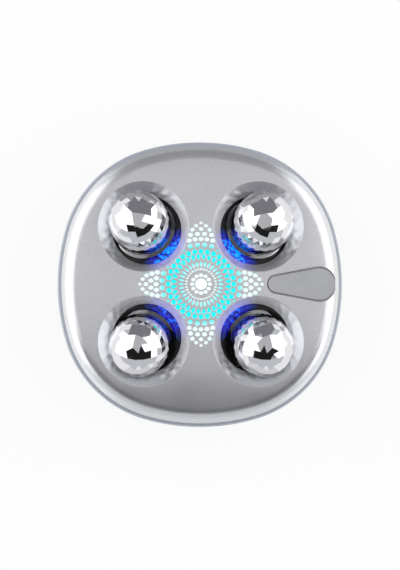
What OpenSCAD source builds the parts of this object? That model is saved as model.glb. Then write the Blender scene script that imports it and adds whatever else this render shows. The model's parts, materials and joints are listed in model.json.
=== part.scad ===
// Hand-held facial toning device with four faceted rollers, a lit grille and a palm-shaped back.
// It lies on its back: the rest face is z = 0 and the rollers point up. All sizes are millimetres.

/* [Body] */
// Width of the body across its flatter sides
body_w = 100; // [98:0.5:106]
// How much larger the radius of the side arcs is than that of the corner arcs: more makes a squarer outline
arc_step = 30; // [28:0.5:32]
// Height of the treatment face above the rest face
body_h = 34; // [34:0.5:40]

/* [Palm shell] */
// Wall of the palm shell
shell_wall = 1.8; // [1.5:0.1:2.2]
// How far the palm shell shows round the cover
lip_w = 1.3; // [1.0:0.1:1.5]
// Drop from the treatment face to the seam
seam_drop = 7; // [6.5:0.1:8]
// Height of the upright band under the seam
band_h = 2.6; // [2:0.1:4]
// Width of the curved part of the palm, from the outline to the flat rest face
dome_w = 28; // [24:0.5:30]
// Steps along the curve of the palm
dome_steps = 14; // [8:1:20]

/* [Treatment cover] */
// Wall of the treatment cover
cover_wall = 2; // [1.8:0.1:2.4]
// Width of the rounded bevel
bevel_w = 5.2; // [4.5:0.1:5.6]
// Height of the rounded bevel
bevel_h = 5.5; // [4.5:0.1:6]
// Steps round the bevel
bevel_steps = 8; // [4:1:12]
// Height of the tongue that sits inside the palm shell
tongue_h = 3.4; // [3:0.1:4]

/* [Rollers] */
// Outward lean of each roller axle, in degrees
roller_tilt = 20; // [17:0.5:22]
// How far each roller's centre stands outwards of its mouth's centre, in plan
roller_shift = 4.2; // [4:0.1:4.6]
// Height of each roller's centre above the treatment face
roller_rise = 3; // [2.6:0.1:3.6]
// Diameter of the roller
roller_d = 21; // [20.6:0.1:21.2]
// Diameter of the faceted skirt where it meets the root ring
skirt_d = 20.4; // [20:0.1:20.5]
// Length of the skirt, from the roller's centre to the root ring
skirt_l = 9.2; // [8.8:0.1:9.6]
// Diameter of the root ring
ring_d = 21.8; // [21.6:0.1:22.2]
// Thickness of the root ring
ring_t = 1; // [0.8:0.1:1.2]
// Facet rows from the tip to the shoulder, which also sets five times as many facets round it
facet_rows = 5; // [3:1:5]
// Facet rows down the skirt
skirt_rows = 7; // [5:1:9]

/* [Sockets] */
// Distance from the middle to the near edge of each dish
dish_near = 12.6; // [12.4:0.1:12.8]
// Diameter of the dish where it meets the treatment face
dish_d = 31.6; // [31:0.1:31.8]
// Slope of the dish wall, in degrees
dish_slope = 30; // [28:1:34]
// Thickness of the dish wall
dish_wall = 1; // [0.8:0.1:1.2]
// Distance from the middle to the near edge of each mouth
mouth_near = 14.6; // [14.5:0.1:14.8]
// Gap between the root ring and the mouth that it passes through
mouth_gap = 1.1; // [1:0.05:1.2]
// Wall of the socket cup
cup_wall = 1.4; // [1.2:0.1:1.5]
// Thickness of the socket floor
cup_floor = 2.2; // [1.8:0.1:2.6]
// Distance from a socket cup's wall to the screws on its flanks
ear_gap = 2.8; // [2.7:0.1:3]

/* [Axles] */
// Diameter of the roller shaft
shaft_d = 4; // [3.6:0.1:4.4]
// Length of the shaft below the roller's centre
shaft_l = 17; // [16.8:0.1:17.4]
// Outside diameter of the bush sleeve
bush_d = 6; // [5.6:0.1:6.4]
// Length of the bush sleeve, from the socket floor down
bush_l = 4.2; // [3.8:0.1:4.4]
// Thickness of the bush head
bush_head_t = 0.8; // [0.6:0.1:0.9]
// Thickness of the shaft clip
clip_t = 0.5; // [0.4:0.05:0.6]

/* [Light grille] */
// Face thickness left over the diffuser
grille_wall = 1; // [0.8:0.1:1.2]
// Thickness of the diffuser
diffuser_t = 2; // [1.6:0.1:2.4]
// Length of the diffuser's arms from the middle
diffuser_arm = 22.1; // [22:0.05:22.2]
// Half width of the diffuser's arms at their tip
diffuser_tip_w = 1.9; // [1.6:0.1:2.2]
// Rays of holes round the grille
grille_rays = 32; // [24:8:32]
// Depth of the light box under the diffuser
light_box_h = 5; // [4:0.1:5.2]

/* [Port cover] */
// Distance of the round narrow end's centre from the middle
port_narrow_x = 26.2; // [26.1:0.1:26.6]
// Radius of the narrow end
port_narrow_r = 3.05; // [2.9:0.05:3.1]
// Distance of the round wide end's centre, and of the charging port, from the outline
port_edge = 8.8; // [8.6:0.1:9]
// Radius of the wide end
port_wide_r = 5.8; // [5.6:0.05:5.9]
// Thickness of the port cover
port_t = 1.6; // [1.4:0.1:1.7]
// Gap round the port cover
port_gap = 0.3; // [0.25:0.05:0.4]
// Distance of the bending line from the middle
port_hinge_x = 26.6; // [26.5:0.1:26.9]
// Length of the metal charging port shell
port_shell_l = 7.3; // [6.8:0.1:7.6]

/* [Power button] */
// Diameter of the power button
button_d = 15; // [14:0.5:16]
// Depth of the button's face behind the rest face
button_recess = 0.8; // [0.6:0.1:1]
// Travel of the button
button_travel = 0.6; // [0.4:0.1:0.6]
// Thickness of the button's cap
button_t = 1.7; // [1.5:0.1:1.9]

/* [Inside] */
// Width, length and thickness of the lithium cell
cell_size = [30, 40, 6];
// Thickness of the foam pad on the cell
pad_t = 0.8; // [0.6:0.1:1]
// Thickness of the main and charging boards
board_t = 1.6; // [1.2:0.2:1.6]
// Radius of the main board and of the inner frame
board_r = 32.5; // [31.5:0.5:33]
// Thickness of the inner frame's plate
frame_t = 2; // [1.6:0.1:2.2]
// Height of the underside of the inner frame
frame_z = 14.4; // [14.2:0.1:14.8]
// Distance of the board posts from the middle
post_reach = 28; // [27.6:0.1:28.4]

/* [Fits] */
// Clearance between pieces that are fixed together
fit_gap = 0.1; // [0.05:0.05:0.15]
// Radial clearance of a turning shaft or a sliding plunger
run_gap = 0.05; // [0.02:0.01:0.08]
// Radial clearance of a glued or threaded joint
seat_gap = 0.02; // [0.01:0.01:0.04]
// Clearance round a piece that swings or slides past another
swing_gap = 0.5; // [0.4:0.05:0.6]

/* [Hidden] */
$fn = 72;

// Corners of the body, counted anticlockwise from the rear right
REAR_RIGHT = 0;
REAR_LEFT = 1;
FRONT_LEFT = 2;
FRONT_RIGHT = 3;

// Levels
face_z = body_h;
seam_z = face_z - seam_drop;
dome_h = seam_z - band_h;
plate_z = face_z - cover_wall;
lip_round = 0.5;
overcut = 1;

// Outline: four side arcs and four corner arcs that meet in line with each other. The direction from a side
// arc's centre to the end of that arc comes from the 7, 24, 25 triangle.
arc_end = [7 / 25, 24 / 25];
side_half = atan(arc_end[0] / arc_end[1]);
corner_c = arc_step * arc_end[0];
side_c = arc_step * arc_end[1] - corner_c;
side_r = body_w / 2 + side_c;
corner_r = side_r - arc_step;

// Tongue and seal
tongue_inset = shell_wall + fit_gap;
seal_w = 0.75;
seal_h = 0.9;
seal_z = seam_z - tongue_h / 2;
inner_inset = lip_w + cover_wall;

// Sockets and axles
roller_r = roller_d / 2;
ring_r = ring_d / 2;
bore_r = ring_r + swing_gap;
mouth_r = ring_r + mouth_gap;
mouth_reach = mouth_near + mouth_r;
dish_r = dish_d / 2;
dish_reach = dish_near + dish_r;
roller_reach = mouth_reach + roller_shift;
throat_r = roller_r + swing_gap;
dish_depth = 4.8;
boss_depth = dish_depth + 1;
floor_l = skirt_l + ring_t + swing_gap + fit_gap;
collar_z = face_z - 6.6;
lens_z = face_z - 5;
lens_h = 2.2;
lens_edge = mouth_reach - 0.6 * mouth_r;
glow_led_w = 2.4;
glow_led_h = 1.1;
glow_led_z = lens_z + 0.4;
ear_z = face_z - 6;
ear_t = 1.8;
ear_r = 2.5;
ear_reach = mouth_r + cup_wall + ear_gap;
ear_post_r = 2.2;
ear_thread_l = 4;
socket_thread_r = 0.8;
socket_screw_head = [1.7, 1.2];
socket_screw_l = 5;
shaft_r = shaft_d / 2;
shaft_top = 3;
bush_head_w = 1.2;
clip_slack = 0.15;
clip_l = floor_l + bush_l + clip_slack;
clip_w = 1.2;
groove_depth = 0.45;
hub_wall = 2;
skirt_wall = 1.8;
hollow_shoulder = 1;
hollow_top = [4, 5];
hollow_neck = 0.7;
leaf_t = 0.3;
leaf_w = 3;
leaf_tip = 2.2;
leaf_bend = 2.6;
leaf_run = [3.5, 6.5];

// Light grille
led_board_t = 1.2;
led_board_tab_w = 8;
light_box_wall = 0.8;
diffuser_r = mouth_near - cup_wall - light_box_wall - fit_gap;
diffuser_bend_w = mouth_reach / sqrt(2) - mouth_r - cup_wall - light_box_wall - fit_gap;
diffuser_root_w = diffuser_bend_w + 1.1;
diffuser_bend_x = 17.3;
arm_root = 9;
diffuser_z = face_z - grille_wall - diffuser_t;
led_board_z = diffuser_z - light_box_h - led_board_t;
led_size = [3, 3, 0.7];
led_ring_r = 8;
led_arm_x = 17;

// Port cover
port_wide_x = body_w / 2 - port_edge;
port_top = face_z + 0.1;
port_floor_z = port_top - port_t - fit_gap;
port_block_t = 1.2;
port_block_w = 0.8;
port_w = 9;
port_h = 3.2;
port_shell_wall = 0.3;
port_shell_top = port_floor_z - fit_gap;
port_board_z = port_shell_top - port_shell_l - board_t;
port_tongue_t = 0.7;
port_tongue_w = 6.6;
port_tongue_drop = 2.4;
port_foot_t = 1.5;
port_post_x = port_wide_x - 3.2;
port_post_y = 5.6;
port_post_r = 1.4;
port_thread_l = 5;
port_screw_l = 4.5;
port_stem = [1.6, 7.2, 1.8];
port_hinge_gap = 0.15;
usb_board_size = [9.4, 15];
stud_x = port_narrow_x - 1.2;
stud_r = 1.1;
stud_head_w = 0.6;
stud_head_t = 1;

// Power button
button_r = button_d / 2;
button_flange_w = 1.1;
button_flange_t = 0.8;
button_dish = 0.3;
button_dish_r = 40;
finger_dish_w = 3.5;
finger_rim_w = 0.6;
switch_z = 4.6;
switch_h = 1.4;
switch_w = 6;
switch_roof_t = 0.1;
plunger_r = 1.2;
plunger_l_in = 0.5;
stem_w = 0.8;
stem_top = switch_z - button_travel - fit_gap;
button_board_t = 1;
button_board_z = switch_z + switch_h;
button_board_size = [26, 15];
stake_at = [11, 5.5];
stake_r = 0.8;
stake_head_h = 0.4;
stake_post_r = 1.8;
status_x = 12;
status_r = 0.9;
status_collar_w = 0.6;
status_collar_t = 0.8;

// Boards, frame and cell
board_z = frame_z + frame_t;
board_top = board_z + board_t;
post_r = 3;
post_neck_r = 2.2;
board_thread_r = 1;
board_thread_l = 8;
board_screw_head = [2.2, 1.4];
board_screw_l = 6;
spacer_wall = 1.1;
cell_z = frame_z - pad_t - cell_size[2];
cell_edge_r = 1.5;
cage_wall = 1.2;
cage_share = 0.7;
window_at = [21.5, 14];
window_r = 4;

// A point of each corner is reached with +X pointing outwards along the corner's diagonal
module at_corner(corner) {
    rotate([0, 0, 45 + 90 * corner]) children();
}

// The roller's centre, with +Z along its axle towards the tip
module on_axle() {
    translate([roller_reach, 0, face_z + roller_rise]) rotate([0, roller_tilt, 0]) children();
}

// Board posts stand behind, left and in front of the middle
module at_board_posts() {
    for (turn = [90, 180, 270]) rotate([0, 0, turn]) translate([post_reach, 0, 0]) children();
}

// Screws of one socket cup, one on each flank
module at_ears() {
    for (side = [-1, 1]) translate([mouth_reach, side * ear_reach, 0]) children();
}

// ---- Sweeps round the outline. A section is a list of [inset from the outline, height] points.

// Ring whose rim follows one arc all round, closed on the arc's axis
module arc_ring(section, radius) {
    bottom = section[0][1];
    top = section[len(section) - 1][1];
    rotate_extrude($fn = 180)
        polygon(concat([[0, bottom]], [for (p = section) [radius - p[0], p[1]]], [[0, top]]));
}

// Solid whose rim follows the outline all the way round: a square core, and a slice of a ring for each arc
module round_outline(section) {
    bottom = section[0][1];
    top = section[len(section) - 1][1];
    corner = [corner_c, corner_c];
    ray = body_w * arc_end;
    translate([-corner_c, -corner_c, bottom]) cube([2 * corner_c, 2 * corner_c, top - bottom]);
    for (turn = [0:90:270]) rotate([0, 0, turn]) {
        intersection() {
            translate([0, -side_c, 0]) arc_ring(section, side_r);
            translate([0, 0, bottom - overcut]) linear_extrude(top - bottom + 2 * overcut) polygon([
                corner, corner + ray, [-corner_c - ray[0], corner_c + ray[1]], [-corner_c, corner_c]
            ]);
        }
        intersection() {
            translate([corner_c, corner_c, 0]) arc_ring(section, corner_r);
            translate([0, 0, bottom - overcut]) linear_extrude(top - bottom + 2 * overcut)
                polygon([corner, corner + [ray[1], ray[0]], corner + ray]);
        }
    }
}

// Points along one arc
function arc_points(centre, radius, from, to, steps) = [
    for (i = [0:steps]) let (a = from + (to - from) * i / steps) centre + radius * [cos(a), sin(a)]
];

// Plan of the outline, set in by t. The side arcs leave out their ends, which the corner arcs give.
module flat_outline(t) {
    side_sweep = side_half * 7 / 8;
    quarter = concat(
        arc_points([corner_c, corner_c], corner_r - t, side_half, 90 - side_half, 20),
        arc_points([0, -side_c], side_r - t, 90 - side_sweep, 90 + side_sweep, 14)
    );
    polygon([
        for (turn = [0:90:270]) for (p = quarter)
            [p[0] * cos(turn) - p[1] * sin(turn), p[0] * sin(turn) + p[1] * cos(turn)]
    ]);
}

// Curve of the palm from the rest face up to the band, set in by t
function dome_arc(t) = [
    for (i = [0:dome_steps]) let (a = 90 * (1 - i / dome_steps))
        [dome_w - (dome_w - t) * cos(a), dome_h - (dome_h - t) * sin(a)]
];

// Curve of the bevel from the wall up to the face, set in by t
function bevel_arc(t) = [
    for (i = [0:bevel_steps]) let (a = 90 * i / bevel_steps)
        [lip_w + bevel_w - (bevel_w - t) * cos(a), face_z - bevel_h + (bevel_h - t) * sin(a)]
];

module palm_outside() {
    round_outline(concat(dome_arc(0), [[0, seam_z - lip_round], [lip_round, seam_z]]));
}

module palm_inside() {
    round_outline(concat(dome_arc(shell_wall), [[shell_wall, seam_z + overcut]]));
}

module cover_outside() {
    round_outline(concat(
        [
            [tongue_inset, seam_z - tongue_h],
            [tongue_inset, seal_z - seal_h / 2 - fit_gap],
            [tongue_inset + seal_w, seal_z - seal_h / 2 - fit_gap],
            [tongue_inset + seal_w, seal_z + seal_h / 2 + fit_gap],
            [tongue_inset, seal_z + seal_h / 2 + fit_gap],
            [tongue_inset, seam_z],
            [lip_w, seam_z]
        ],
        bevel_arc(0)
    ));
}

module cover_inside() {
    round_outline(concat([[inner_inset, seam_z - tongue_h - overcut]], bevel_arc(cover_wall)));
}

// ---- Plan shapes

// Two round ends joined by their common tangents, grown by g
module teardrop(g) {
    narrow = port_narrow_r + g;
    wide = port_wide_r + g;
    lean = asin((wide - narrow) / (port_wide_x - port_narrow_x));
    polygon(concat(
        arc_points([port_wide_x, 0], wide, -90 - lean, 90 + lean, 36),
        arc_points([port_narrow_x, 0], narrow, 90 + lean, 270 - lean, 24)
    ));
}

// Slot with round ends, long along Y
module slot(length, width) {
    for (side = [-1, 1]) translate([0, side * (length - width) / 2]) circle(width / 2);
    square([width, length - width], center = true);
}

// Round block with four tapered arms, grown by g
module star(g, h) {
    arm = [
        [arm_root, diffuser_root_w], [arm_root + 2, diffuser_root_w],
        [diffuser_bend_x, diffuser_bend_w], [diffuser_arm + g, diffuser_tip_w]
    ];
    cylinder(h = h, r = diffuser_r + g);
    for (turn = [0:90:270]) rotate([0, 0, turn]) linear_extrude(h)
        polygon(concat([for (p = arm) p + [0, g]], [for (i = [3:-1:0]) [arm[i][0], -arm[i][1] - g]]));
}

// One long hole of the grille, pointed at both ends, from radius r1 to r2
module petal(r1, r2, width) {
    steps = 6;
    polygon(concat(
        [for (i = [0:steps]) [r1 + (r2 - r1) * i / steps, width / 2 * sin(180 * i / steps)]],
        [for (i = [steps - 1:-1:1]) [r1 + (r2 - r1) * i / steps, -width / 2 * sin(180 * i / steps)]]
    ));
}

module hole_ring(radius, count, diameter) {
    for (i = [0:count - 1]) rotate(360 * i / count) translate([radius, 0])
        circle(d = diameter, $fn = 24);
}

// Rows of one arm of the grille: radius, number of holes, angle between holes, diameter
ARM_ROWS = [
    [13.7, 4, 10.6, 1.6], [15.7, 5, 7.5, 1.6], [17.5, 4, 8, 1.6],
    [19.2, 3, 9, 1.5], [20.4, 2, 9.6, 1.3], [21.3, 1, 0, 1.1]
];

module grille_arm() {
    for (row = ARM_ROWS, i = [0:row[1] - 1])
        rotate((i - (row[1] - 1) / 2) * row[2]) translate([row[0], 0]) circle(d = row[3], $fn = 24);
}

// Rings of round holes: radius of the ring, number of holes, diameter
HOLE_RINGS = [[3.1, 12, 1.3], [5.2, grille_rays, 0.7], [10, grille_rays, 0.55], [11.4, grille_rays, 1.7]];

// Rings of long holes: inner radius, outer radius, width, turn in parts of a ray
PETAL_RINGS = [[5.9, 8, 0.8, 0], [8.4, 10.7, 1.15, 0.5]];

module grille_holes() {
    middle_r = 2;
    flank_at = [12.9, 27];
    flank_d = 0.7;
    circle(middle_r);
    for (ring = HOLE_RINGS) hole_ring(ring[0], ring[1], ring[2]);
    for (ring = PETAL_RINGS, i = [0:grille_rays - 1]) rotate((i + ring[3]) * 360 / grille_rays)
        petal(ring[0], ring[1], ring[2]);
    for (turn = [0:90:270]) rotate(turn) {
        grille_arm();
        for (side = [-1, 1]) rotate(side * flank_at[1]) translate([flank_at[0], 0])
            circle(d = flank_d, $fn = 24);
    }
}

// ---- Treatment cover and what is cut to it

// Radius of the outside of the dish wall at a depth below the face, with the wall thickened by extra
function boss_radius(depth, extra = 0) =
    dish_r - depth / tan(dish_slope) + (dish_wall + extra) / sin(dish_slope);

module dish_cone() {
    rise = overcut / tan(dish_slope);
    translate([dish_reach, 0, face_z - dish_depth])
        cylinder(h = dish_depth + overcut, r1 = dish_r - dish_depth / tan(dish_slope), r2 = dish_r + rise);
}

module dish_boss(extra = 0) {
    top = cover_wall / 4;
    translate([dish_reach, 0, face_z - boss_depth - extra])
        cylinder(h = boss_depth + extra - top,
            r1 = boss_radius(boss_depth + extra, extra), r2 = boss_radius(top, extra));
}

module mouth_bore(bottom, r = mouth_r) {
    translate([mouth_reach, 0, bottom]) cylinder(h = face_z + overcut - bottom, r = r);
}

// What is left standing inside the cover's hollow
module cover_stiffeners() {
    for (corner = [0:3]) at_corner(corner) {
        dish_boss();
        at_ears() translate([0, 0, ear_z]) cylinder(h = seam_drop, r = ear_post_r, $fn = 36);
    }
    at_board_posts() {
        translate([0, 0, led_board_z + led_board_t]) cylinder(h = seam_drop * 2, r = post_r, $fn = 36);
        translate([0, 0, board_top]) cylinder(h = seam_drop * 2, r = post_neck_r, $fn = 36);
    }
    translate([0, 0, port_floor_z - port_block_t]) linear_extrude(port_block_t + cover_wall)
        teardrop(port_gap + port_block_w);
    for (side = [-1, 1]) translate([port_post_x, side * port_post_y, port_board_z + board_t])
        cylinder(h = seam_drop * 2, r = port_post_r, $fn = 36);
}

module cover_cuts() {
    for (corner = [0:3]) at_corner(corner) {
        dish_cone();
        mouth_bore(face_z - boss_depth - overcut);
        on_axle() translate([0, 0, -floor_l]) cylinder(h = floor_l, r = throat_r);
        at_ears() translate([0, 0, ear_z - overcut])
            cylinder(h = ear_thread_l + overcut, r = socket_thread_r, $fn = 24);
    }
    at_board_posts() translate([0, 0, board_top - overcut])
        cylinder(h = board_thread_l + overcut, r = board_thread_r, $fn = 24);
    translate([0, 0, diffuser_z - overcut]) star(fit_gap, diffuser_t + overcut);
    translate([0, 0, diffuser_z]) linear_extrude(face_z - diffuser_z + overcut) grille_holes();
    translate([0, 0, port_floor_z]) linear_extrude(cover_wall + overcut) teardrop(port_gap);
    translate([port_wide_x, 0, port_floor_z - port_block_t - overcut])
        linear_extrude(port_block_t + 2 * overcut) slot(port_w + 2 * fit_gap, port_h + 2 * fit_gap);
    translate([stud_x, 0, port_floor_z - port_block_t - overcut])
        cylinder(h = port_block_t + 2 * overcut, r = stud_r + seat_gap, $fn = 36);
    for (side = [-1, 1]) translate([port_post_x, side * port_post_y, port_board_z])
        cylinder(h = port_thread_l, r = socket_thread_r, $fn = 24);
}

module treatment_cover() {
    color("silver") difference() {
        cover_outside();
        difference() {
            cover_inside();
            cover_stiffeners();
        }
        cover_cuts();
    }
}

module palm_shell() {
    color([0.68, 0.71, 0.76]) {
        difference() {
            palm_outside();
            palm_inside();
            // Hollow that leads the finger to the button, and the button's hole
            translate([0, 0, -overcut])
                cylinder(h = button_recess + overcut,
                    r1 = button_r + finger_dish_w + overcut, r2 = button_r + finger_rim_w);
            translate([0, 0, -overcut]) cylinder(h = shell_wall + 2 * overcut, r = button_r + swing_gap / 2);
            translate([status_x, 0, -overcut])
                cylinder(h = shell_wall + 2 * overcut, r = status_r + seat_gap, $fn = 24);
        }
        // Posts with moulded stakes that hold the button board
        for (x = [-1, 1], y = [-1, 1]) translate([x * stake_at[0], y * stake_at[1], shell_wall / 2]) {
            cylinder(h = button_board_z - shell_wall / 2, r = stake_post_r, $fn = 24);
            cylinder(h = button_board_z + button_board_t + stake_head_h - shell_wall / 2,
                r = stake_r, $fn = 24);
        }
    }
}

module case_seal() {
    outer = shell_wall + seat_gap;
    inner = tongue_inset + seal_w - seat_gap;
    color("dimgray") translate([0, 0, seal_z - seal_h / 2]) linear_extrude(seal_h) difference() {
        flat_outline(outer);
        flat_outline(inner);
    }
}

// ---- Light grille

module grille_diffuser() {
    color([0.6, 0.95, 1]) translate([0, 0, diffuser_z]) star(0, diffuser_t);
}

module light_box() {
    color("white") translate([0, 0, diffuser_z - light_box_h]) difference() {
        star(light_box_wall, light_box_h - fit_gap);
        translate([0, 0, -overcut]) star(0, light_box_h + 2 * overcut);
    }
}

module led_board() {
    tab_l = post_reach - arm_root;
    color("darkgreen") translate([0, 0, led_board_z]) difference() {
        union() {
            star(light_box_wall, led_board_t);
            for (turn = [90, 180, 270]) rotate([0, 0, turn])
                translate([arm_root, -led_board_tab_w / 2, 0]) cube([tab_l, led_board_tab_w, led_board_t]);
            at_board_posts() cylinder(h = led_board_t, r = led_board_tab_w / 2);
        }
        at_board_posts() translate([0, 0, -overcut])
            cylinder(h = led_board_t + 2 * overcut, r = post_neck_r + fit_gap, $fn = 36);
    }
}

module grille_leds() {
    color("lightyellow") translate([0, 0, led_board_z + led_board_t + led_size[2] / 2]) {
        cube(led_size, center = true);
        for (turn = [0:45:315]) rotate([0, 0, turn]) translate([led_ring_r, 0, 0])
            cube(led_size, center = true);
        for (turn = [0:90:270]) rotate([0, 0, turn]) translate([led_arm_x, 0, 0])
            cube(led_size, center = true);
    }
}

module board_spacers() {
    color("ivory") at_board_posts() translate([0, 0, board_top]) difference() {
        cylinder(h = led_board_z - board_top, r = post_neck_r + fit_gap + spacer_wall, $fn = 36);
        translate([0, 0, -overcut])
            cylinder(h = led_board_z - board_top + 2 * overcut, r = post_neck_r + fit_gap, $fn = 36);
    }
}

// ---- Sockets

module socket_cup(corner) {
    under = plate_z - fit_gap;
    color([0.12, 0.12, 0.13]) at_corner(corner) difference() {
        union() {
            translate([mouth_reach, 0, collar_z]) cylinder(h = under - collar_z, r = mouth_r + cup_wall);
            on_axle() translate([0, 0, -floor_l - cup_floor])
                cylinder(h = floor_l + cup_floor, r = bore_r + cup_wall);
            at_ears() translate([0, 0, ear_z - ear_t]) cylinder(h = ear_t, r = ear_r, $fn = 36);
            for (side = [-1, 1]) translate([mouth_reach, side * (ear_reach - ear_r), ear_z - ear_t / 2])
                cube([2 * ear_r, 2 * ear_r, ear_t], center = true);
        }
        dish_boss(fit_gap);
        translate([0, -body_w / 2, under]) cube([body_w, body_w, body_h]);
        mouth_bore(lens_z);
        on_axle() translate([0, 0, -floor_l]) cylinder(h = 2 * floor_l, r = bore_r);
        on_axle() translate([0, 0, -floor_l - cup_floor - overcut])
            cylinder(h = cup_floor + 2 * overcut, r = bush_d / 2 + seat_gap, $fn = 48);
        at_ears() translate([0, 0, ear_z - ear_t - overcut])
            cylinder(h = ear_t + 2 * overcut, r = socket_thread_r + fit_gap, $fn = 24);
        // Pocket for the light
        translate([
            mouth_reach - mouth_r - cup_wall - overcut,
            -glow_led_w / 2 - fit_gap,
            glow_led_z - fit_gap
        ]) cube([cup_wall + overcut + 2 * fit_gap, glow_led_w + 2 * fit_gap, glow_led_h + 2 * fit_gap]);
    }
}

// Crescent of clear plastic on the ledge at the inner side of a mouth
module glow_lens(corner) {
    color([0.2, 0.6, 1, 0.8]) at_corner(corner) difference() {
        translate([mouth_reach, 0, lens_z]) cylinder(h = lens_h, r = mouth_r - fit_gap);
        on_axle() translate([0, 0, -floor_l]) cylinder(h = 2 * floor_l, r = bore_r);
        translate([lens_edge, -mouth_r, lens_z - overcut])
            cube([3 * mouth_r, 2 * mouth_r, lens_h + 2 * overcut]);
    }
}

module glow_leds() {
    color([0.1, 0.4, 1]) for (corner = [0:3]) at_corner(corner)
        translate([mouth_reach - mouth_r - cup_wall + fit_gap, -glow_led_w / 2, glow_led_z])
            cube([cup_wall - 2 * fit_gap, glow_led_w, glow_led_h]);
}

// Pan-head screw with its shank up from the origin and its head, of radius and height, below
module pan_screw(shank_r, length, head) {
    head_r = head[0];
    head_h = head[1];
    translate([0, 0, -head_h]) difference() {
        cylinder(h = head_h, r = head_r, $fn = 24);
        for (turn = [0, 90]) rotate([0, 0, turn]) translate([0, 0, head_h / 4])
            cube([head_r, head_r / 4, head_h / 2 + overcut / 2], center = true);
    }
    cylinder(h = length, r = shank_r, $fn = 24);
}

module socket_screws() {
    color("gainsboro") {
        for (corner = [0:3]) at_corner(corner) at_ears()
            translate([0, 0, ear_z - ear_t - seat_gap])
                pan_screw(socket_thread_r - seat_gap, socket_screw_l, socket_screw_head);
        for (side = [-1, 1]) translate([port_post_x, side * port_post_y, port_board_z - seat_gap])
            pan_screw(socket_thread_r - seat_gap, port_screw_l, socket_screw_head);
    }
}

module shaft_bush(corner) {
    color("goldenrod") at_corner(corner) on_axle() difference() {
        union() {
            translate([0, 0, -floor_l - bush_l]) cylinder(h = bush_l, r = bush_d / 2, $fn = 48);
            translate([0, 0, -floor_l + seat_gap])
                cylinder(h = bush_head_t, r = bush_d / 2 + bush_head_w, $fn = 48);
            translate([0, 0, -floor_l - overcut]) cylinder(h = 2 * overcut, r = bush_d / 2, $fn = 48);
        }
        translate([0, 0, -floor_l - bush_l - overcut])
            cylinder(h = bush_l + 3 * overcut, r = shaft_r + run_gap, $fn = 48);
    }
}

// ---- Rollers

// Number of points on a facet ring: five more on each ring down to the shoulder, then the same
function ring_count(k) = 5 * min(k, facet_rows);
function ring_start(k) = k <= facet_rows
    ? 1 + 5 * k * (k - 1) / 2
    : ring_start(facet_rows) + 5 * facet_rows * (k - facet_rows);

// A point of a ring. Rings below the shoulder are turned by half a facet each
function ring_index(k, i) = k == 0 ? 0 : ring_start(k) + (i + ring_count(k)) % ring_count(k);

shoulder_angle = 63.4;
ring_total = facet_rows + 2 + skirt_rows;
function ring_angle(k, i) = 360 / ring_count(k) * (i + max(0, k - facet_rows) / 2);

// Radius and height of a ring: on the ball to just above the middle, then down the skirt
function ring_place(k) =
    k <= facet_rows + 1
        ? [roller_r * sin(shoulder_angle / facet_rows * k), roller_r * cos(shoulder_angle / facet_rows * k)]
        : let (s = (k - facet_rows - 2) / skirt_rows, drop = skirt_l + ring_t / 2)
            [roller_r + (skirt_d / 2 - roller_r) * s, -drop * (0.09 + 0.91 * s * (1.35 - 0.35 * s))];

function ring_points(k) = let (place = ring_place(k)) [
    for (i = [0:ring_count(k) - 1])
        [place[0] * cos(ring_angle(k, i)), place[0] * sin(ring_angle(k, i)), place[1]]
];

// Facets between ring k and the next one, in the five wedges of the crown
function crown_facets(k) = [
    for (wedge = [0:4]) for (j = [0:k])
        [ring_index(k, wedge * k + j), ring_index(k + 1, wedge * (k + 1) + j + 1),
            ring_index(k + 1, wedge * (k + 1) + j)],
    for (wedge = [0:4]) for (j = [0:1:k - 1])
        [ring_index(k, wedge * k + j), ring_index(k, wedge * k + j + 1),
            ring_index(k + 1, wedge * (k + 1) + j + 1)]
];

// Facets between ring k and the next one, below the shoulder
function band_facets(k) = [
    for (i = [0:ring_count(k) - 1])
        [ring_index(k, i), ring_index(k, i + 1), ring_index(k + 1, i)],
    for (i = [0:ring_count(k) - 1])
        [ring_index(k + 1, i), ring_index(k, i + 1), ring_index(k + 1, i + 1)]
];

// Diamond-cut ball and skirt, with its tip up and its centre at the origin
module faceted_body() {
    points = concat([[0, 0, roller_r]], [for (k = [1:ring_total]) each ring_points(k)]);
    foot = [for (i = [0:ring_count(ring_total) - 1]) ring_index(ring_total, i)];
    polyhedron(points, concat(
        [for (k = [0:facet_rows - 1]) each crown_facets(k)],
        [for (k = [facet_rows:ring_total - 1]) each band_facets(k)],
        [foot]
    ));
}

module roller_ball(corner) {
    hub_r = shaft_r + hub_wall;
    hub_l = floor_l - bush_head_t - swing_gap + fit_gap;
    hollow_r = skirt_d / 2 - skirt_wall;
    color([0.86, 0.87, 0.9]) at_corner(corner) on_axle() difference() {
        union() {
            faceted_body();
            translate([0, 0, -skirt_l - ring_t]) cylinder(h = ring_t, r = ring_r);
        }
        // Hollow round the hub
        rotate_extrude() polygon([
            [hub_r, -skirt_l - ring_t - overcut], [hollow_r, -skirt_l - ring_t - overcut],
            [hollow_r, -hollow_shoulder], [hollow_r * hollow_neck, hollow_top[0]], [hub_r, hollow_top[1]]
        ]);
        translate([0, 0, -hub_l - 2 * overcut]) cylinder(h = 2 * overcut, r = hub_r + overcut / 2);
        translate([0, 0, -hub_l - overcut])
            cylinder(h = hub_l + overcut + shaft_top + seat_gap, r = shaft_r + seat_gap, $fn = 48);
    }
}

module roller_shaft(corner) {
    groove_h = clip_t + 2 * run_gap;
    color("lightsteelblue") at_corner(corner) on_axle() difference() {
        translate([0, 0, -shaft_l]) cylinder(h = shaft_l + shaft_top, r = shaft_r, $fn = 48);
        translate([0, 0, -clip_l - clip_t - run_gap]) difference() {
            cylinder(h = groove_h, r = shaft_r + overcut, $fn = 48);
            translate([0, 0, -overcut])
                cylinder(h = groove_h + 2 * overcut, r = shaft_r - groove_depth, $fn = 48);
        }
    }
}

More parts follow.
